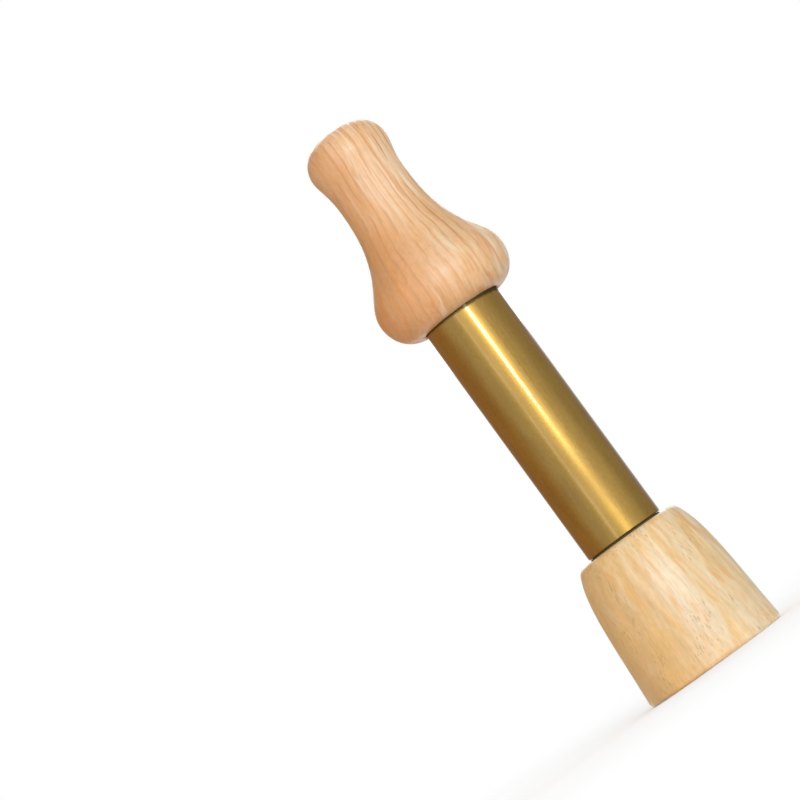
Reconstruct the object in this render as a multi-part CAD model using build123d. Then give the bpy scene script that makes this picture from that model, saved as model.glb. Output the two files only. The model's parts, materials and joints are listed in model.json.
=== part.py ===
from build123d import *
import math
import os

# A sliding bird call that stands on its pull knob: a whistle head in a brass tube, with a plunger to tune it.
# The origin is the centre of the knob's flat base, +Z runs up the axis to the mouthpiece's lip,
# and the sound window faces +Y, away from the viewer. All sizes are in millimetres.

# Brass tube, 18 mm outside with a 1 mm wall
tube_radius = 9.0
tube_wall = 1.0
tube_shown = 57.7
tube_edge_break = 0.2

# Sound window in the tube, with the edge below it sharpened by a ramp from outside
window_drop = 5.0
window_height = 5.5
ramp_length = 4.5
edge_thickness = 0.25

# Windway between the fipple block's flat and the tube, and the wind chamber above the block
windway_height = 1.0
windway_lead_in = 1.5
chamber_depth = 4.0

# Mouthpiece: socket for the tube, bulge, neck and lip
mouthpiece_length = 46.4
socket_depth = 12.0
socket_lead_in = 0.4
blow_hole_radius = 3.3
blow_hole_round = 0.6
underside_flat = 0.15
bulge_radius = 15.65
bulge_rise = 7.15
bulge_fullness = 6.15
neck_radius = 8.3
neck_below_lip = 8.8
neck_sweep = 16.95
neck_turn = 4.4
lip_radius = 9.4
lip_round = 5.9
lip_turn = 1.9

# Pull knob: the side leans in from the base, then turns in towards a rounded shoulder
knob_height = 31.6
knob_base_radius = 16.35
knob_base_round = 0.9
knob_shoulder_radius = 12.45
knob_shoulder_round = 2.0
knob_lean = 1.1
knob_lean_height = 13.85
knob_turn_in = 2.85
knob_turn_height = 5.85
rod_seat_depth = 20.0

# Thin felt washer between the knob and the tube, a little smaller than the tube
felt_thickness = 0.5
felt_edge_inset = 0.3

# Guide bush in the tube's lower end, with vents for the air behind the piston
bush_recess = 0.5
bush_height = 6.0
vent_radius = 0.9
vent_count = 3

# Plunger rod and piston
rod_radius = 3.0
rod_end_chamfer = 0.5
air_column = 7.4
front_washer_clearance = 2.0
front_washer_thickness = 0.8
packing_thickness = 3.5
packing_edge_round = 0.5
rear_washer_clearance = 0.8
rear_washer_thickness = 0.8

# Round-head wood screw that clamps the piston on the rod
screw_length = 16.0
screw_radius = 1.25
screw_point = 2.5
screw_head_radius = 2.6
screw_head_height = 1.8
screw_slot_width = 0.7
screw_slot_depth = 0.9

# Clearances
glue_gap = 0.05
running_gap = 0.05
washer_gap = 0.1
screw_gap = 0.15
pilot_spare = 0.3

# Radii and heights that follow from the sizes above
tube_bore = tube_radius - tube_wall
socket_radius = tube_radius + glue_gap
plug_radius = tube_bore - glue_gap
rod_hole_radius = rod_radius + running_gap
screw_hole_radius = screw_radius + screw_gap
front_washer_radius = tube_bore - front_washer_clearance
rear_washer_radius = tube_bore - rear_washer_clearance
windway_floor = tube_bore - windway_height
window_width = 2 * math.sqrt(tube_bore**2 - windway_floor**2)

tube_low = knob_height + felt_thickness
mouthpiece_low = tube_low + tube_shown
tube_high = mouthpiece_low + socket_depth
mouthpiece_high = mouthpiece_low + mouthpiece_length
window_high = mouthpiece_low - window_drop
window_low = window_high - window_height
block_high = tube_high - chamber_depth
bush_low = tube_low + bush_recess
bush_high = bush_low + bush_height
piston_high = window_low - air_column
packing_high = piston_high - front_washer_thickness
packing_low = packing_high - packing_thickness
rod_high = packing_low - rear_washer_thickness
rod_low = knob_height - rod_seat_depth
screw_low = piston_high - screw_length


def turned(*edges):
    """A solid turned about the axis from a closed outline of radius and height."""
    return revolve(Plane.XZ * make_face(edges), Axis.Z)


def ring(outer_radius, inner_radius, low, high):
    """A plain ring about the axis between two heights."""
    outline = Polyline(
        (inner_radius, low),
        (outer_radius, low),
        (outer_radius, high),
        (inner_radius, high),
        close=True,
    )
    return turned(outline)


def block(low, high):
    """A box between two opposite corners."""
    size = [b - a for a, b in zip(low, high)]
    return Pos(*low) * Box(*size, align=(Align.MIN, Align.MIN, Align.MIN))


def make_pull_knob():
    base_centre = knob_base_radius - knob_base_round
    start = (knob_base_radius, knob_base_round)
    turn = math.atan2(knob_turn_in, knob_turn_height)
    shoulder_x = knob_shoulder_radius - knob_shoulder_round * math.cos(turn)
    shoulder_z = knob_height - knob_shoulder_round
    end_z = shoulder_z + knob_shoulder_round * math.sin(turn)
    side = Bezier(
        start,
        (knob_base_radius - knob_lean, knob_base_round + knob_lean_height),
        (knob_shoulder_radius + knob_turn_in, end_z - knob_turn_height),
        (knob_shoulder_radius, end_z),
    )
    seat_radius = rod_radius + glue_gap
    return turned(
        Line((0, 0), (base_centre, 0)),
        CenterArc((base_centre, knob_base_round), knob_base_round, -90, 90),
        side,
        CenterArc((shoulder_x, shoulder_z), knob_shoulder_round, math.degrees(turn), 90 - math.degrees(turn)),
        Polyline(
            (shoulder_x, knob_height),
            (seat_radius, knob_height),
            (seat_radius, rod_low),
            (0, rod_low),
            (0, 0),
        ),
    )


def make_mouthpiece():
    rim_radius = blow_hole_radius + blow_hole_round
    dome_x = lip_radius - lip_round
    dome_angle = math.acos((rim_radius - dome_x) / lip_round)
    lip_z = mouthpiece_high - lip_round * math.sin(dome_angle)
    neck_z = lip_z - neck_below_lip
    bulge_z = mouthpiece_low + bulge_rise
    lead_in_radius = socket_radius + socket_lead_in
    underside_radius = lead_in_radius + underside_flat
    bulge_reach = bulge_radius - underside_radius
    rim_low = mouthpiece_high - blow_hole_round
    return turned(
        EllipticalCenterArc((underside_radius, bulge_z), bulge_reach, bulge_rise, -90, arc_size=90),
        Bezier(
            (bulge_radius, bulge_z),
            (bulge_radius, bulge_z + bulge_fullness),
            (neck_radius, neck_z - neck_sweep),
            (neck_radius, neck_z),
        ),
        Bezier(
            (neck_radius, neck_z),
            (neck_radius, neck_z + neck_turn),
            (lip_radius, lip_z - lip_turn),
            (lip_radius, lip_z),
        ),
        CenterArc((dome_x, lip_z), lip_round, 0, math.degrees(dome_angle)),
        CenterArc((rim_radius, rim_low), blow_hole_round, 90, 90),
        Polyline(
            (blow_hole_radius, rim_low),
            (blow_hole_radius, tube_high),
            (socket_radius, tube_high),
            (socket_radius, mouthpiece_low + socket_lead_in),
            (lead_in_radius, mouthpiece_low),
            (underside_radius, mouthpiece_low),
        ),
    )


def make_brass_tube():
    tube = ring(tube_radius, tube_bore, tube_low, tube_high)
    low_rims = tube.edges().group_by(Axis.Z)[0]
    tube = chamfer(low_rims, tube_edge_break)
    half_width = window_width / 2
    window = block((-half_width, 0, window_low), (half_width, tube_radius * 2, window_high))
    # The ramp starts a little off the bore at the window and leaves the tube's outside ramp_length below
    edge_radius = tube_bore + edge_thickness
    past = tube_radius + tube_wall
    past_drop = ramp_length * (past - edge_radius) / (tube_radius - edge_radius)
    ramp = turned(
        Polyline(
            (edge_radius, window_low),
            (past, window_low - past_drop),
            (past, window_high),
            (edge_radius, window_high),
            close=True,
        )
    )
    ramp_width = block((-half_width, 0, window_low - past_drop), (half_width, tube_radius * 2, window_high))
    return tube - window - (ramp & ramp_width)


def make_fipple_block():
    plug = ring(plug_radius, 0, window_high, block_high)
    above_flat = block((-tube_bore, windway_floor, window_high), (tube_bore, tube_radius * 2, block_high))
    plug = plug - above_flat
    flat = plug.faces().filter_by(Axis.Y).sort_by(Axis.Y)[-1]
    entry = flat.edges().sort_by(Axis.Z)[-1]
    return chamfer(entry, windway_lead_in)


def make_guide_bush():
    bush = ring(plug_radius, rod_hole_radius, bush_low, bush_high)
    vent = ring(vent_radius, 0, bush_low, bush_high)
    vent_circle = (plug_radius + rod_hole_radius) / 2
    for place in PolarLocations(vent_circle, vent_count, start_angle=90):
        bush = bush - place * vent
    return bush


def make_plunger_rod():
    pilot_low = screw_low - pilot_spare
    pilot_radius = screw_radius + glue_gap
    return turned(
        Polyline(
            (0, rod_low),
            (rod_radius - rod_end_chamfer, rod_low),
            (rod_radius, rod_low + rod_end_chamfer),
            (rod_radius, rod_high),
            (pilot_radius, rod_high),
            (pilot_radius, pilot_low),
            (0, pilot_low),
            close=True,
        )
    )


def make_piston_packing():
    packing = ring(tube_bore - running_gap, screw_hole_radius, packing_low, packing_high)
    rims = packing.edges().filter_by(GeomType.CIRCLE).sort_by(SortBy.RADIUS)[-2:]
    return fillet(rims, packing_edge_round)


def make_piston_screw():
    screw = turned(
        EllipticalCenterArc((0, piston_high), screw_head_radius, screw_head_height, 0, arc_size=90),
        Polyline(
            (0, piston_high + screw_head_height),
            (0, screw_low),
            (screw_radius, screw_low + screw_point),
            (screw_radius, piston_high),
            (screw_head_radius, piston_high),
        ),
    )
    head_high = piston_high + screw_head_height
    slot = block(
        (-screw_head_radius, -screw_slot_width / 2, head_high - screw_slot_depth),
        (screw_head_radius, screw_slot_width / 2, head_high + screw_slot_depth),
    )
    return screw - slot


pieces = {
    "pull_knob": make_pull_knob(),
    "stop_washer": ring(tube_radius - felt_edge_inset, rod_radius + washer_gap, knob_height, tube_low),
    "plunger_rod": make_plunger_rod(),
    "piston_rear_washer": ring(rear_washer_radius, screw_hole_radius, rod_high, packing_low),
    "piston_packing": make_piston_packing(),
    "piston_front_washer": ring(front_washer_radius, screw_hole_radius, packing_high, piston_high),
    "piston_screw": make_piston_screw(),
    "guide_bush": make_guide_bush(),
    "brass_tube": make_brass_tube(),
    "fipple_block": make_fipple_block(),
    "mouthpiece": make_mouthpiece(),
}

os.makedirs("parts", exist_ok=True)
for name, solid in pieces.items():
    solid.label = name
    export_step(solid, f"parts/{name}.step")

print(f"overall height {mouthpiece_high:.2f} mm, plunger travel {rod_high - bush_high:.2f} mm")
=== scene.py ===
# %% [markdown]
# # A sliding bird call in turned wood and brass
# This lesson dresses a small whistle: a turned mouthpiece, a drawn brass tube and a turned knob that
# pulls a plunger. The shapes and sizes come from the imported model, which stays where it is. What is
# added here is the finish of each surface, the soft pieces that a plain solid can't show, and a studio
# to photograph it in.

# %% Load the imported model
import json
import math

import bmesh
import bpy
from mathutils import Matrix, Vector


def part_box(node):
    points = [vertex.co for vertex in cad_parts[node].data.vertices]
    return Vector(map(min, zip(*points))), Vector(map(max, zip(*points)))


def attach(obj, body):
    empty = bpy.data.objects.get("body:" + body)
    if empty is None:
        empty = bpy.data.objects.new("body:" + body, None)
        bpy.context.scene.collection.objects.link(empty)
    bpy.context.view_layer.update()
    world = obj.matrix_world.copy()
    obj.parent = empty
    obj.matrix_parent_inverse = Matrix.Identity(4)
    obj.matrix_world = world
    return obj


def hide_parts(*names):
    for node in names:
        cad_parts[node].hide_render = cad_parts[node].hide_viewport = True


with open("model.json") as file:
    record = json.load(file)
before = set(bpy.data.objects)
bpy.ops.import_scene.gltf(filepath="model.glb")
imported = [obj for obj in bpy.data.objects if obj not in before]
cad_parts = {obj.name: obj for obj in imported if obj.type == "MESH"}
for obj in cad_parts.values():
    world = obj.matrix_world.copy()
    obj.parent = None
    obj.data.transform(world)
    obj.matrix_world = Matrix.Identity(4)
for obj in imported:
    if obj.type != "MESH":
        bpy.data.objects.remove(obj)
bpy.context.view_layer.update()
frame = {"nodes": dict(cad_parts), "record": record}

MM = 0.001
nodes = frame["nodes"]

# %% [markdown]
# ## The camera
# The call leans in the picture, and here it stands on its knob, so it is the camera that tilts. It
# could be aimed with a Track To constraint, but that always keeps the horizon level. A turn about the
# line of sight after aiming gives the lean, and a long lens from two thirds of a metre gives the same
# slight perspective.

# %% Place the camera
scene = bpy.context.scene
scene.view_settings.view_transform = "Standard"

eye = Vector((-0.10 * MM, -635.9 * MM, 17.2 * MM))
aim_left = math.radians(1.903)
aim_up = math.radians(5.860)
lean = math.radians(-35.891)
line_of_sight = Vector((
    -math.sin(aim_left) * math.cos(aim_up),
    math.cos(aim_left) * math.cos(aim_up),
    math.sin(aim_up),
))

bpy.ops.object.camera_add()
camera = bpy.context.object
camera.name = "camera"
camera.data.sensor_width = 36
camera.data.lens = 137.66
camera.data.clip_start = 10 * MM
aimed = line_of_sight.to_track_quat("-Z", "Y").to_matrix()
camera.matrix_world = Matrix.Translation(eye) @ (aimed @ Matrix.Rotation(lean, 3, "Z")).to_4x4()
scene.camera = camera
print("camera lens", camera.data.lens, "mm at", [round(c, 3) for c in eye], "m")

# %% [markdown]
# ## Sums in a shader
# A grain or a tarnish is worked out from a few sums at each point of the surface. Each sum is a Math
# node, and wiring dozens of them by hand hides the idea. A small class holds one socket and adds the
# node when two sockets are added or multiplied, so a recipe below reads as arithmetic. Its node method
# makes every other kind of node.

# %% A class for shader sums
class Wire:
    """One output socket of a node tree. Sums and products of wires add Math nodes to the tree."""

    def __init__(self, tree, socket=None):
        self.tree = tree
        self.socket = socket

    def node(self, kind, settings, sockets, output=0):
        """Adds a node: its settings first, then the values or links of its sockets."""
        made = self.tree.nodes.new(kind)
        for name, value in settings.items():
            setattr(made, name, value)
        for name, value in sockets.items():
            if isinstance(value, Wire):
                self.tree.links.new(value.socket, made.inputs[name])
            else:
                made.inputs[name].default_value = value
        return Wire(self.tree, made.outputs[output] if made.outputs else None)

    def math(self, operation, first, second=0.0):
        return self.node("ShaderNodeMath", {"operation": operation}, {0: first, 1: second})

    def __add__(self, other):
        return self.math("ADD", self, other)

    def __sub__(self, other):
        return self.math("SUBTRACT", self, other)

    def __mul__(self, other):
        return self.math("MULTIPLY", self, other)

    def __truediv__(self, other):
        return self.math("DIVIDE", self, other)

    def __pow__(self, other):
        return self.math("POWER", self, other)

    def __rsub__(self, other):
        return self.math("SUBTRACT", other, self)

    __radd__ = __add__
    __rmul__ = __mul__

    def step(self, low, high):
        """0 below low, 1 above high, and a smooth rise between them."""
        return self.node(
            "ShaderNodeMapRange",
            {"interpolation_type": "SMOOTHSTEP"},
            {"Value": self, "From Min": low, "From Max": high},
        )


print("shader sums ready")

# %% [markdown]
# ## Colours and noise
# Every finish here is a few colours mixed by noise. An image would be quicker, but it stretches where a
# piece is turned and it shows its seams. Noise drawn on the object's own coordinates has no seams, and
# its patches are given in millimetres: so wide across the axis, so long along it.

# %% Colour and noise helpers
def blend(share, first, second):
    """A colour that goes from first to second as share goes from 0 to 1."""
    # A Mix node has sockets for every kind of data, and its colours are inputs 6 and 7 and output 2
    return share.node("ShaderNodeMix", {"data_type": "RGBA"}, {0: share, 6: first, 7: second}, 2)


def shade(level, colour):
    """A colour times a value, so that the value darkens or lightens it."""
    return level.node("ShaderNodeVectorMath", {"operation": "SCALE"}, {0: colour, "Scale": level})


def axes(place, letters="XYZ"):
    """The coordinates of each point that the letters name, as values."""
    return [place.node("ShaderNodeSeparateXYZ", {}, {0: place}, letter) for letter in letters]


def cloud(place, across, along, detail=2.0, curl=0.0):
    """Noise in patches of a width across the axis and a length along it, in metres, that wave by curl."""
    scale = (1 / across, 1 / across, 1 / along)
    drawn = place.node("ShaderNodeMapping", {}, {"Vector": place, "Scale": scale})
    sockets = {"Vector": drawn, "Scale": 1.0, "Detail": detail, "Distortion": curl}
    return drawn.node("ShaderNodeTexNoise", {}, sockets)


def sway(noise, amount):
    """Noise turned into a swing of an amount about zero."""
    return (noise - 0.5) * amount


def bump(height, depth, strength=1.0):
    """A normal from a height of 0 to 1, where 1 stands depth metres proud."""
    return height.node("ShaderNodeBump", {}, {"Height": height, "Distance": depth, "Strength": strength})


print("colour and noise helpers ready")

# %% [markdown]
# ## A finish from start to end
# Each finish is a material that starts with the object's coordinates and ends in one Principled shader.
# Its nodes could be laid out by hand in the editor, but then each finish would need it again. Two small
# functions do it for all of them, and a third keeps each finish under the name that the record uses.

# %% Start, end and keep a finish
finishes = {}


def start_finish(name):
    """A new material with an empty tree, and the object coordinates that its patterns are drawn on."""
    material = bpy.data.materials.new(name)
    material.use_nodes = True
    material.node_tree.nodes.clear()
    place = Wire(material.node_tree).node("ShaderNodeTexCoord", {}, {}, "Object")
    return material, place


def end_finish(place, sockets):
    """Joins a Principled shader with these sockets to the material's output."""
    surface = place.node("ShaderNodeBsdfPrincipled", {}, sockets)
    place.node("ShaderNodeOutputMaterial", {}, {"Surface": surface})


def keep_finish(slot, material):
    """Keeps a finish under the name of its slot."""
    finishes[slot] = material
    print(slot, "takes", len(material.node_tree.nodes), "nodes")


print("finishes can start")

# %% [markdown]
# ## Wood that is cut, not wrapped
# A turned piece shows the inside of the board it was cut from, so its lines run through the wood and not
# round it. An image wrapped on the surface could not do that at the bulge or the end grain. Here each
# point's distance from the tree's heart gives its growth ring. Each ring draws its own random number, so
# that some years leave a strong line and some a faint one. Streaks drawn on plain coordinates would end
# wherever the turning cuts through them, so they lie in sheets along the rings instead.

# %% Growth rings
def ring_distance(place, heart, tilt, wander):
    """Distance from the heart of the tree, which leans by tilt. The rings wander slowly and ripple."""
    x, y, z = axes(place)
    across = x - (z * tilt[0] + heart[0])
    deep = y - (z * tilt[1] + heart[1])
    drift = sway(cloud(place, 14 * MM, 50 * MM), wander)
    ripple = sway(cloud(place, 4 * MM, 7 * MM), wander / 2)
    return (across * across + deep * deep) ** 0.5 + drift + ripple


def growth_lines(distance, gap, width):
    """Lines at the end of each year, a gap apart, of a width that is a share of the gap."""
    year = distance / gap
    phase = year.math("FRACT", year)
    count = year.math("FLOOR", year)
    luck = year.node("ShaderNodeTexWhiteNoise", {"noise_dimensions": "1D"}, {"W": count}, "Value")
    dark_line = phase.step(1 - 2 * width, 1 - width)
    slow_rise = phase.step(0.1, 1 - width)
    pale_start = phase.step(1 - width, 1.0)
    return (dark_line * 0.8 + slow_rise * 0.2) * (1 - pale_start) * (luck * 0.6 + 0.4)


def spread(place, swelling):
    """Coordinates drawn in towards the axis by a swelling, so that lines spread as the piece swells."""
    x, y, z = axes(place)
    return place.node("ShaderNodeCombineXYZ", {}, {0: x / swelling, 1: y / swelling, 2: z})


def along_rings(place, distance):
    """Coordinates that follow the rings, so that noise drawn on them lies in flat sheets."""
    y, z = axes(place, "YZ")
    sheet_stretch = 5
    return place.node("ShaderNodeCombineXYZ", {}, {0: distance, 1: y / sheet_stretch, 2: z})


print("growth rings ready")

# %% [markdown]
# ## Grain of the mouthpiece
# The grain lines stand further apart over the mouthpiece's bulge than along its neck. A second pattern
# for the bulge would show where the two meet, so the coordinates are drawn in there, by an amount that
# fades out towards the neck. The slope between the two cuts across the fibres, shows end grain and is
# painted with shade.

# %% Grain of the mouthpiece
def mouthpiece_grain(place):
    """The grain's coordinates, how much they are drawn in, and how much end grain and painted shade show.
    """
    bulge_spread = 1.45
    bulge_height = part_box("mouthpiece")[0].z + 8 * MM
    slope_height = bulge_height + 10 * MM
    neck_height = bulge_height + 22 * MM
    height = axes(place, "Z")[0]
    swelling = bulge_spread - height.step(bulge_height, neck_height) * (bulge_spread - 1)
    end_grain_and_shade = height.step(bulge_height, slope_height) - height.step(slope_height, neck_height)
    return spread(place, swelling), swelling, end_grain_and_shade


print("mouthpiece grain ready")

# %% [markdown]
# ## Mouthpiece wood
# The mouthpiece is a pinkish orange hardwood with soft lines along it, under a satin varnish. One tone
# with dark lines would look printed. Slow patches and the redder heartwood come first, then streaks,
# fibres and cream between them, and the lines last. The slope between bulge and neck is painted a little
# darker and less cream, as shade, and the heartwood on the bulge is painted deeper red, as warm shade.
# The varnish lies in streaks, so the roughness follows a noise of its own and breaks up the highlight.

# %% Mouthpiece wood
def mouthpiece_wood():
    honey = (0.90, 0.54, 0.26, 1)
    pink = (0.96, 0.68, 0.44, 1)
    heart_red_and_shade = (0.84, 0.32, 0.085, 1)
    streak_brown = (0.82, 0.42, 0.18, 1)
    cream = (0.98, 0.79, 0.55, 1)
    line_brown = (0.68, 0.28, 0.10, 1)

    material, place = start_finish("mouthpiece_wood_finish")
    grain, swelling, end_grain_and_shade = mouthpiece_grain(place)
    distance = ring_distance(grain, heart=(-59 * MM, -11 * MM), tilt=(0.02, -0.03), wander=2.0 * MM)
    sheets = along_rings(grain, distance)
    heartwood = 1 - distance.step(46 * MM, 64 * MM)
    patch = cloud(grain, 5 * MM, 24 * MM, curl=0.5).step(0.3, 0.7) * (1 - end_grain_and_shade * 0.7)
    streak = cloud(sheets, 1.0 * MM, 14 * MM, curl=0.4)
    fibre = cloud(sheets, 0.35 * MM, 6 * MM)
    fleck = cloud(grain, 0.45 * MM, 1.3 * MM, detail=1.0)
    pale = cloud(sheets, 1.2 * MM, 12 * MM, curl=0.4).step(0.48, 0.72) * (1 - heartwood)
    broken = cloud(grain, 2.0 * MM, 7 * MM).step(0.32, 0.62) * 0.85 + 0.15
    line = growth_lines(distance, gap=1.45 * MM, width=0.2) * broken
    line = line * (1.7 - swelling * 0.7 + end_grain_and_shade * 0.3) * (1.1 - heartwood * 0.4)
    varnish = cloud(grain, 1.2 * MM, 8 * MM, curl=0.6).step(0.35, 0.65)

    colour = blend(patch, honey, pink)
    # real heartwood, and painted warm shade: on the bulge its red is deepened with the swelling
    colour = blend(heartwood * (swelling * 0.6 + 0.1), colour, heart_red_and_shade)
    colour = blend(1 - streak.step(0.28, 0.52), colour, streak_brown)
    # painted shade: the slope is darkened a little, and the next line gives it less cream
    colour = shade(sway(fibre, 0.2) + sway(fleck, 0.2) + 1.0 - end_grain_and_shade * 0.05, colour)
    colour = blend(pale * (0.85 - end_grain_and_shade * 0.55), colour, cream)
    colour = blend(line, colour, line_brown)
    end_finish(place, {
        "Base Color": colour,
        "Roughness": 0.46 - varnish * 0.18,
        "Normal": bump(streak + fibre * 0.3 + fleck * 0.4, depth=0.05 * MM, strength=0.4),
    })
    return material


keep_finish("mouthpiece_wood", mouthpiece_wood())

# %% [markdown]
# ## Knob wood
# The knob is a paler, yellower wood with orange and cream patches and a few short pores in clusters. Its
# streaks spread towards the base as the cone does. Painting them by hand would not reach round the back,
# so here too the coordinates are drawn in, by an amount that grows from the shoulder to the base.

# %% Knob wood
def knob_wood():
    honey = (0.86, 0.58, 0.26, 1)
    straw = (0.92, 0.74, 0.50, 1)
    heart_orange = (0.85, 0.50, 0.18, 1)
    line_brown = (0.78, 0.46, 0.19, 1)
    flame_orange = (0.87, 0.49, 0.19, 1)
    pore_brown = (0.46, 0.28, 0.10, 1)
    cream = (0.95, 0.82, 0.59, 1)
    flare_rate = 9.0

    material, place = start_finish("knob_wood_finish")
    middle_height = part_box("pull_knob")[1].z / 2
    below_middle = middle_height - axes(place, "Z")[0]
    grain = spread(place, below_middle * flare_rate + 1.0)
    distance = ring_distance(grain, heart=(-48 * MM, -34 * MM), tilt=(-0.05, -0.06), wander=2.4 * MM)
    sheets = along_rings(grain, distance)
    heartwood = 1 - distance.step(42 * MM, 58 * MM)
    patch = cloud(grain, 4 * MM, 18 * MM, curl=0.8).step(0.32, 0.68)
    streak = cloud(sheets, 1.6 * MM, 14 * MM, curl=0.2)
    fibre = cloud(grain, 0.35 * MM, 6 * MM)
    fleck = cloud(grain, 0.5 * MM, 1.3 * MM, detail=1.0)
    flame = cloud(sheets, 1.1 * MM, 9 * MM, detail=3.0, curl=0.2).step(0.50, 0.72)
    pale = cloud(sheets, 1.1 * MM, 7 * MM, detail=3.0, curl=0.2).step(0.50, 0.74)
    cluster = cloud(grain, 4 * MM, 10 * MM)
    line = growth_lines(distance, gap=2.8 * MM, width=0.3) * cluster.step(0.35, 0.62)
    pore = cloud(grain, 0.32 * MM, 1.5 * MM, detail=1.0).step(0.60, 0.68) * cluster.step(0.50, 0.62)
    oil = cloud(grain, 1.4 * MM, 6 * MM, curl=0.6).step(0.35, 0.65)

    colour = blend(patch, honey, straw)
    colour = blend(heartwood * 0.95, colour, heart_orange)
    colour = shade(sway(streak, 0.45) + sway(fibre, 0.25) + sway(fleck, 0.2) + 1.0, colour)
    colour = blend(line * 0.4, colour, line_brown)
    colour = blend(flame * 0.75, colour, flame_orange)
    colour = blend(pore * 0.5, colour, pore_brown)
    colour = blend(pale * (0.5 - heartwood * 0.3), colour, cream)
    relief = streak + fibre * 0.3 + fleck * 0.4 - pore * 0.5
    end_finish(place, {
        "Base Color": colour,
        "Roughness": 0.46 - oil * 0.16,
        "Normal": bump(relief, depth=0.05 * MM, strength=0.5),
    })
    return material


keep_finish("knob_wood", knob_wood())

# %% [markdown]
# ## Dowel wood
# The rod, the guide bush and the fipple block are plain hardwood dowel, planed and not oiled. They could
# share the knob's finish, but bare wood is duller and straighter in the grain, so it has only lines and
# fibres.

# %% Dowel wood
def dowel_wood():
    planed = (0.78, 0.56, 0.33, 1)
    line_brown = (0.60, 0.37, 0.18, 1)

    material, place = start_finish("dowel_wood_finish")
    distance = ring_distance(place, heart=(22 * MM, 30 * MM), tilt=(0.0, 0.02), wander=1.5 * MM)
    line = growth_lines(distance, gap=1.3 * MM, width=0.25)
    fibre = cloud(place, 0.3 * MM, 6 * MM, detail=3.0)
    colour = blend(line * 0.6, planed, line_brown)
    colour = shade(sway(fibre, 0.5) + 1.0, colour)
    end_finish(place, {
        "Base Color": colour,
        "Roughness": fibre * 0.2 + 0.45,
        "Normal": bump(fibre, depth=0.03 * MM, strength=0.5),
    })
    return material


keep_finish("dowel_wood", dowel_wood())

# %% [markdown]
# ## Drawn brass
# The tube was pulled through a die, which leaves faint marks along it, and handling has dulled it to a
# brown gold. A polished look would need only a colour and a low roughness. Old lacquered brass has two
# layers: the dull metal spreads the light in a broad gold band, and the lacquer over it keeps a narrow
# white line. So the metal is rough and the coat is smooth, and a shadow is painted just under the
# mouthpiece. The washers and the screw of the piston are the same brass without that painted shadow.

# %% Brass
def drawn_brass(name, bright, dull, joint_height):
    """Lacquered brass that tarnish takes from bright to dull, with a painted shadow just below a joint.
    """
    speck_brown = (0.12, 0.08, 0.02, 1)
    shadow_brown = (0.06, 0.045, 0.015, 1)

    material, place = start_finish(name)
    x, z = axes(place, "XZ")
    die_marks = cloud(place, 0.25 * MM, 60 * MM)
    tarnish = cloud(place, 2.5 * MM, 14 * MM, detail=5.0).step(0.35, 0.68)
    mottle = cloud(place, 0.5 * MM, 0.8 * MM, detail=3.0)
    speck = cloud(place, 0.5 * MM, 0.6 * MM).step(0.66, 0.74)
    lacquer = cloud(place, 2 * MM, 5 * MM).step(0.25, 0.6)
    # The painted shadow under the joint has a wavy edge, is a little deeper on one side and dulls the
    # coat
    lopsided = 0.04
    wave = sway(cloud(place, 1.2 * MM, 1.2 * MM), 0.5 * MM)
    below_joint = joint_height - z + wave - x * lopsided
    bulge_shadow = 1 - below_joint.step(0.25 * MM, 0.9 * MM)

    colour = blend(tarnish, bright, dull)
    colour = shade(sway(die_marks, 0.16) + sway(mottle, 0.3) + 1.0, colour)
    colour = blend(speck * 0.25, colour, speck_brown)
    # painted shadow of the mouthpiece on the tube
    colour = blend(bulge_shadow * 0.85, colour, shadow_brown)
    end_finish(place, {
        "Base Color": colour,
        "Metallic": 1.0,
        "Roughness": die_marks * 0.08 + tarnish * 0.06 + bulge_shadow * 0.2 + mottle * 0.12 + 0.21,
        "Specular Tint": (0.45, 0.30, 0.20, 1),
        "Coat Weight": (lacquer * 0.2 + 0.8) * (1 - bulge_shadow * 0.8),
        "Coat Roughness": 0.10,
        "Normal": bump(mottle + die_marks * 0.2, depth=0.01 * MM, strength=0.6),
    })
    return material


keep_finish("tube_brass", drawn_brass(
    "tube_brass_finish",
    bright=(0.42, 0.252, 0.042, 1),
    dull=(0.37, 0.22, 0.038, 1),
    joint_height=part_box("mouthpiece")[0].z,
))
far_above = 1.0
keep_finish("fitting_brass", drawn_brass(
    "fitting_brass_finish",
    bright=(0.45, 0.29, 0.07, 1),
    dull=(0.36, 0.22, 0.05, 1),
    joint_height=far_above,
))

# %% [markdown]
# ## Leather and felt
# Greased leather is brown with a pebbled grain, and pressed felt is a mat of dark fibres. Strands of hair
# could stand for the felt's fuzz, but both pieces are small and dull. A little noise in the colour and a
# bump of the same noise are enough.

# %% Leather and felt
def packing_leather():
    leather_brown = (0.25, 0.12, 0.05)

    material, place = start_finish("packing_leather_finish")
    grain = cloud(place, 0.5 * MM, 0.5 * MM, detail=4.0)
    end_finish(place, {
        "Base Color": shade(sway(grain, 0.8) + 1.0, leather_brown),
        "Roughness": grain * 0.3 + 0.4,
        "Normal": bump(grain, depth=0.1 * MM),
    })
    return material


def stop_felt():
    felt_brown = (0.09, 0.075, 0.04)

    material, place = start_finish("stop_felt_finish")
    fuzz = cloud(place, 0.25 * MM, 0.25 * MM, detail=5.0)
    end_finish(place, {
        "Base Color": shade(sway(fuzz, 1.2) + 1.0, felt_brown),
        "Roughness": 0.95,
        "Normal": bump(fuzz, depth=0.2 * MM),
    })
    return material


keep_finish("packing_leather", packing_leather())
keep_finish("stop_felt", stop_felt())

# %% [markdown]
# ## Dressing the pieces
# Each piece's record names the slot that its finish belongs to. Choosing materials piece by piece would
# repeat that list, so one loop reads the record and puts the slot's finish on the piece.

# %% Dress the pieces
for part in frame["record"]["subparts"]:
    nodes[part["node"]].material_slots[0].material = finishes[part["material_slot"]]

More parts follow.
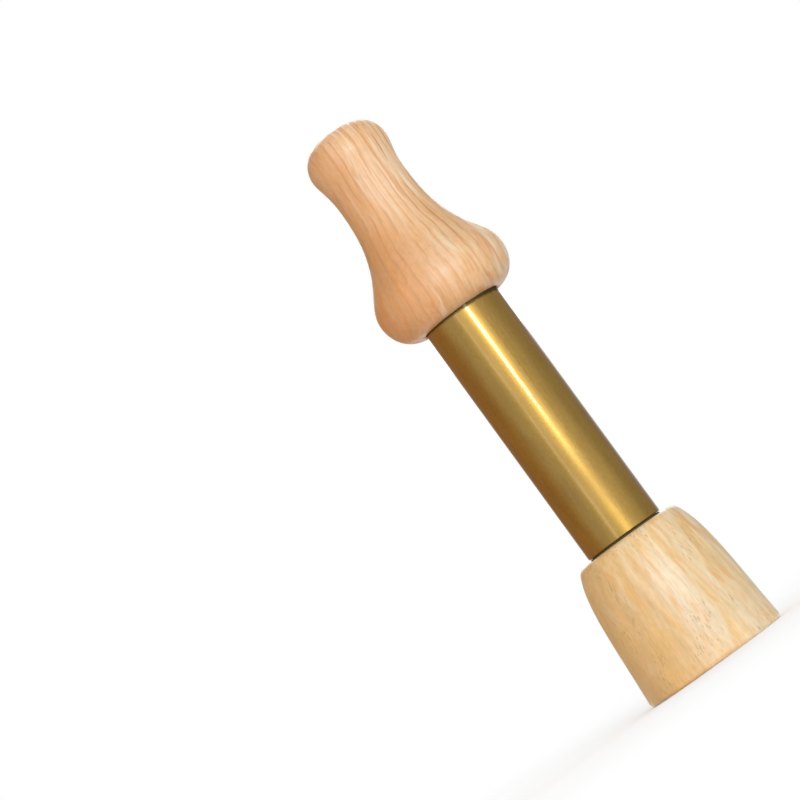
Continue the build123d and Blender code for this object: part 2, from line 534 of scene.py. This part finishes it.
# %% [markdown]
# ## Soft rings, pulled from a circle
# The felt washer and the leather packing are soft rings, and the plain solids that stand for them have
# the sharp rims of turned metal. A ring could be cut from a cylinder with a hole, but that leaves long
# thin faces that won't bend. Here a circle of points is pulled round the ring's section, out along the
# underside, up the rim, back over the top and down the hole, so the faces follow the shape.

# %% Pull a ring
AROUND = 96


def pull_ring(name, section):
    """A closed ring: a circle of points extruded through the radius and height of each section point."""
    merge_distance = 0.001 * MM
    bpy.ops.object.select_all(action="DESELECT")
    radius, height = section[0]
    bpy.ops.mesh.primitive_circle_add(vertices=AROUND, radius=radius, location=(0, 0, height))
    ring = bpy.context.object
    ring.name = name
    bpy.ops.object.transform_apply(location=True, rotation=True, scale=True)
    bpy.ops.object.mode_set(mode="EDIT")
    bpy.ops.mesh.select_all(action="SELECT")
    for next_radius, next_height in section[1:] + section[:1]:
        bpy.ops.mesh.extrude_region_move(TRANSFORM_OT_translate={"value": (0, 0, next_height - height)})
        scale = next_radius / radius
        bpy.ops.transform.resize(value=(scale, scale, 1), center_override=(0, 0, 0))
        radius, height = next_radius, next_height
    bpy.ops.mesh.select_all(action="SELECT")
    bpy.ops.mesh.remove_doubles(threshold=merge_distance)
    bpy.ops.mesh.normals_make_consistent(inside=False)
    return ring


print("rings have", AROUND, "points round them")

# %% [markdown]
# ## Worn rims and a soft surface
# Felt and leather have no sharp edges and no true flats. Sculpting could give that, but not twice in the
# same way. So the edges round a rim are selected by their radius, ready for a bevel, and then the faces
# are split and pressed in and out by a little noise.

# %% Select a rim and soften a ring
def select_rim(ring, radius):
    """Selects the edges that run round a ring at one radius, in edit mode."""
    near = 0.01 * MM
    bpy.ops.mesh.select_all(action="DESELECT")
    bpy.ops.mesh.select_mode(type="EDGE")
    drawn = bmesh.from_edit_mesh(ring.data)
    for edge in drawn.edges:
        level = abs(edge.verts[0].co.z - edge.verts[1].co.z) < near
        edge.select = level and all(abs(v.co.xy.length - radius) < near for v in edge.verts)
    bmesh.update_edit_mesh(ring.data)


def soften(ring, patch, depth):
    """Splits the faces for a round surface and presses it in and out by a depth, in patches of noise."""
    bpy.ops.object.mode_set(mode="OBJECT")
    split = ring.modifiers.new("split", "SUBSURF")
    split.levels = 2
    split.render_levels = 2
    lumps = bpy.data.textures.new(ring.name + "_lumps", "CLOUDS")
    lumps.noise_scale = patch
    press = ring.modifiers.new("press", "DISPLACE")
    press.texture = lumps
    press.texture_coords = "LOCAL"
    press.mid_level = 0.5
    press.strength = 2 * depth
    for modifier in ("split", "press"):
        bpy.ops.object.modifier_apply(modifier=modifier)
    bpy.ops.object.shade_smooth()
    print(ring.name, "has", len(ring.data.polygons), "faces")


print("rims can be rounded")

# %% [markdown]
# ## The felt washer
# The dark line between the knob and the tube is a thin felt washer, loose on the rod, which hushes the
# knock when the knob is pushed home. The tube's end has pressed a track into its rim. The track is drawn
# in the section, because a dent made later would cut across the faces.

# %% Felt washer
felt_low, felt_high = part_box("stop_washer")
felt_play = 0.1 * MM
felt_radius = felt_high.x
felt_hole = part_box("plunger_rod")[1].x + felt_play
tube_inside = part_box("guide_bush")[1].x
felt_middle = (felt_hole + tube_inside) / 2
track_depth = 0.08 * MM
rim_round = 0.12 * MM
felt = pull_ring("felt_washer", [
    (felt_hole, felt_low.z),
    (felt_middle, felt_low.z),
    (tube_inside, felt_low.z),
    (felt_radius, felt_low.z),
    (felt_radius, felt_high.z - track_depth),
    (tube_inside + rim_round, felt_high.z - track_depth),
    (tube_inside - rim_round, felt_high.z),
    (felt_middle, felt_high.z),
    (felt_hole, felt_high.z),
])
select_rim(felt, felt_radius)
bpy.ops.mesh.bevel(offset=rim_round, segments=2, affect="EDGES")
soften(felt, patch=0.6 * MM, depth=0.015 * MM)
felt.data.materials.append(finishes["stop_felt"])
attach(felt, "felt_stop")
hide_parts("stop_washer")

# %% [markdown]
# ## The leather packing
# A thick leather disc seals the piston in the tube. Two brass washers squeeze it, which leaves a shallow
# seat on each side. Boolean cuts could sink the seats, but they would leave ragged faces, so the disc is
# drawn a little thinner all over instead, with flat faces. The rims are bevelled wide, since leather that
# rubs in a tube soon wears round.

# %% Leather packing
leather_low, leather_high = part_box("piston_packing")
leather_play = 0.03 * MM
leather_radius = leather_high.x - leather_play
leather_hole = 1.4 * MM
rear_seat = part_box("piston_rear_washer")[1].x
front_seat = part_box("piston_front_washer")[1].x
seat_swell = 0.06 * MM
leather_bottom = leather_low.z + seat_swell
leather_top = leather_high.z - seat_swell
leather_round = 0.5 * MM
leather = pull_ring("leather_packing", [
    (leather_hole, leather_bottom),
    (rear_seat, leather_bottom),
    (leather_radius, leather_bottom),
    (leather_radius, leather_top),
    (front_seat + seat_swell, leather_top),
    (front_seat, leather_top),
    (leather_hole, leather_top),
])
select_rim(leather, leather_radius)
bpy.ops.mesh.bevel(offset=leather_round, segments=4, affect="EDGES")
soften(leather, patch=0.8 * MM, depth=0.02 * MM)
leather.data.materials.append(finishes["packing_leather"])
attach(leather, "plunger")
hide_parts("piston_packing")

# %% [markdown]
# ## White all round
# The call is shown on white. More light would bleach the wood, so the white comes from the background
# itself: it looks full white to the camera and to reflections, and lights the call only a little.

# %% World
WHITE = (1, 1, 1, 1)
FILL = 0.44


def white_rays(wire):
    """1 for what the camera, a reflection or clear glass sees, and 0 for light that falls on the call."""
    rays = ("Is Camera Ray", "Is Glossy Ray", "Is Transmission Ray")
    seen, mirrored, clear = [wire.node("ShaderNodeLightPath", {}, {}, ray) for ray in rays]
    return wire.math("MAXIMUM", seen, wire.math("MAXIMUM", mirrored, clear))


world = bpy.data.worlds.new("studio")
world.use_nodes = True
world.node_tree.nodes.clear()
sky = Wire(world.node_tree)
sky_glow = white_rays(sky) * (1 - FILL) + FILL
backdrop = sky.node("ShaderNodeBackground", {}, {"Color": WHITE, "Strength": sky_glow})
sky.node("ShaderNodeOutputWorld", {}, {"Surface": backdrop})
scene.world = world
print("white world ready, which lights the call by", FILL)

# %% [markdown]
# ## Lamps
# Four soft panels light the call: a broad one near the camera, a small bright strip that draws the white
# line down the brass, a thin strip at the left for a second, fainter line, and one behind. Spot lamps
# would give hard, small highlights instead. A panel's power is its brightness times pi times its area, so
# brightness 1 looks as bright as the white background. The brass would mirror the broad panel too
# strongly, so that panel is left out of reflections, and a dimmer face takes its place below.

# %% Lamps
PANEL_TURN = 11
PANEL_DISTANCE = 1.2
PANEL_WIDTH = 1.38


def facing_tube(turn, rise, distance):
    """A place that faces the tube: turn degrees right of the front and rise degrees above level."""
    middle = Vector((0, 0, 62 * MM))
    turn = math.radians(turn)
    rise = math.radians(rise)
    away = Vector((math.sin(turn) * math.cos(rise), -math.cos(turn) * math.cos(rise), math.sin(rise)))
    facing = away.to_track_quat("Z", "Y").to_matrix().to_4x4()
    return Matrix.Translation(middle + away * distance) @ facing


def panel(name, turn, rise, distance, width, height, brightness):
    """A soft panel of a width and height that faces the tube."""
    bpy.ops.object.light_add(type="AREA")
    light = bpy.context.object
    light.name = name
    light.data.shape = "RECTANGLE"
    light.data.size = width
    light.data.size_y = height
    light.data.energy = brightness * math.pi * width * height
    light.matrix_world = facing_tube(turn, rise, distance)
    light.visible_camera = False
    print(name, "lit with", round(light.data.energy, 2), "W")
    return light


broad_panel = panel(
    "broad_panel",
    turn=PANEL_TURN,
    rise=12,
    distance=PANEL_DISTANCE,
    width=PANEL_WIDTH,
    height=0.6,
    brightness=2.22,
)
broad_panel.visible_glossy = False
panel("bright_strip", turn=17, rise=9.8, distance=1.1, width=0.165, height=0.208, brightness=16.7)
panel("thin_strip", turn=-18, rise=14, distance=1.1, width=0.13, height=0.7, brightness=1.25)
panel("back_panel", turn=180, rise=25, distance=1.2, width=0.9, height=0.8, brightness=1.6)

# %% [markdown]
# ## What the brass mirrors
# Brass shows whatever stands round it, and white on every side would leave it pale and flat. Dimmer lamps
# would darken the wood too, so some pieces of the studio are seen in reflections alone. They glow by
# themselves, so no lamp has to reach them.

# %% Helpers for mirrored pieces
def glowing(place, colour, brightness):
    """A surface that glows in one colour by a brightness."""
    return place.node("ShaderNodeEmission", {}, {"Color": colour, "Strength": brightness})


def flat_board(name, width, height, laid):
    """A board of a width and height, moved to where it is laid."""
    bpy.ops.object.select_all(action="DESELECT")
    bpy.ops.mesh.primitive_plane_add(size=1)
    board = bpy.context.object
    board.name = name
    board.data.transform(Matrix.Diagonal((width, height, 1, 1)))
    board.data.transform(laid)
    return board


def for_reflections(made, finish, place, surface):
    """Gives a stage piece its surface and leaves it to reflections: it neither lights nor shades."""
    place.node("ShaderNodeOutputMaterial", {}, {"Surface": surface})
    made.data.materials.append(finish)
    made.visible_camera = False
    made.visible_diffuse = False
    made.visible_shadow = False
    print(made.name, "stands in the studio")


print("helpers for mirrored pieces ready")

# %% [markdown]
# ## The grey screen
# The brass looks too bright in a white room. A grey world would show in the picture, so a round grey
# screen stands about the call and is seen in reflections alone.

# %% Grey screen
SCREEN_GLOW = 0.71
screen_radius = 1.5
screen_height = 0.6
bpy.ops.object.select_all(action="DESELECT")
bpy.ops.mesh.primitive_cylinder_add(
    radius=screen_radius,
    depth=screen_height,
    end_fill_type="NOTHING",
    location=(0, 0, screen_height / 2),
)
screen = bpy.context.object
screen.name = "grey_screen"
finish, place = start_finish("grey_screen_finish")
for_reflections(screen, finish, place, glowing(place, WHITE, SCREEN_GLOW))

# %% [markdown]
# ## The panel's face
# The broad panel is left out of reflections, so the tube would lack the wide light band of its front. A
# second lamp there would light the wood twice. A glowing face of the same width takes its place, and it
# is dimmer than the panel.

# %% Panel face
face_height = 0.75
face_glow = 1.3
face_laid = facing_tube(PANEL_TURN, rise=16, distance=PANEL_DISTANCE)
face = flat_board("panel_face", PANEL_WIDTH, face_height, face_laid)
finish, place = start_finish("panel_face_finish")
for_reflections(face, finish, place, glowing(place, WHITE, face_glow))

# %% [markdown]
# ## The tabletop
# Seen from above, the tube mirrors what it stands on. An even table would give it one flat tone. This one
# has two light and two dark sides, which blend into each other round the call and give the tube soft
# bands.

# %% Tabletop
table_radius = 0.6
table_level = -0.01 * MM
table_glow = 0.95
table_contrast = 0.45
bpy.ops.object.select_all(action="DESELECT")
bpy.ops.mesh.primitive_circle_add(
    radius=table_radius,
    vertices=AROUND,
    fill_type="NGON",
    location=(0, 0, table_level),
)
tabletop = bpy.context.object
tabletop.name = "tabletop"
finish, place = start_finish("tabletop_finish")
x, y = axes(place, "XY")
sides = x * y * 2 / (x * x + y * y)
for_reflections(tabletop, finish, place, glowing(place, WHITE, table_glow - sides * table_contrast))

# %% [markdown]
# ## Cards at the sides
# A warm brown card at the left and a grey one at the right darken the tube towards its edges, and they
# too are seen in reflections alone. A card with a hard front edge would draw a line down the tube, so
# each card fades in from its front edge.

# %% Cards
def card(name, turn, distance, width, height, fade, colour):
    """A card that stands turn degrees to the right of the front and fades in from its front edge."""
    turn = math.radians(turn)
    away = Vector((math.sin(turn), -math.cos(turn), 0))
    middle = away * distance + Vector((0, 0, height / 2))
    facing = away.to_track_quat("Z", "Y").to_matrix().to_4x4()
    made = flat_board(name, width, height, Matrix.Translation(middle) @ facing)
    front_edge = min(vertex.co.y for vertex in made.data.vertices)
    finish, place = start_finish(name + "_finish")
    share = axes(place, "Y")[0].step(front_edge, front_edge + fade)
    clear = place.node("ShaderNodeBsdfTransparent", {}, {})
    lit_card = glowing(place, colour, SCREEN_GLOW)
    surface = place.node("ShaderNodeMixShader", {}, {0: share, 1: clear, 2: lit_card})
    for_reflections(made, finish, place, surface)


warm_brown = (0.70, 0.46, 0.26, 1)
warm_grey = (0.70, 0.67, 0.58, 1)
card("brown_card", turn=-105, distance=0.08, width=0.24, height=0.24, fade=0.096, colour=warm_brown)
card("grey_card", turn=104, distance=0.08, width=0.144, height=0.24, fade=0.048, colour=warm_grey)

# %% [markdown]
# ## The floor
# The floor is matt white paper. Under these lamps alone it would look grey beside the white background,
# so it also glows for the eye, by just enough to look white where no shadow falls. The glow stands for
# light from the white background, so the call blocks it near its foot as it would block that light. Past
# the shadow the floor fades out to the background, which hides its edge.

# %% Floor
def floor_paper():
    paper_white = (0.85, 0.85, 0.85, 1)
    paper_glow = 0.43
    shadow_reach = 0.15
    fade_start = 0.25
    fade_end = 0.6

    material, place = start_finish("floor_finish")
    paper = place.node("ShaderNodeBsdfDiffuse", {}, {"Color": paper_white})
    open_sky = place.node("ShaderNodeAmbientOcclusion", {"samples": 4}, {"Distance": shadow_reach}, "AO")
    glow = glowing(place, WHITE, white_rays(place) * open_sky * paper_glow)
    lit_paper = place.node("ShaderNodeAddShader", {}, {0: paper, 1: glow})
    x, y = axes(place, "XY")
    far = ((x * x + y * y) ** 0.5).step(fade_start, fade_end)
    clear = place.node("ShaderNodeBsdfTransparent", {}, {})
    surface = place.node("ShaderNodeMixShader", {}, {0: far, 1: lit_paper, 2: clear})
    place.node("ShaderNodeOutputMaterial", {}, {"Surface": surface})
    return material


floor_size = 8
floor_level = -0.02 * MM
bpy.ops.object.select_all(action="DESELECT")
bpy.ops.mesh.primitive_plane_add(size=floor_size, location=(0, 0, floor_level))
floor = bpy.context.object
floor.name = "floor"
floor.data.materials.append(floor_paper())
print("floor laid")
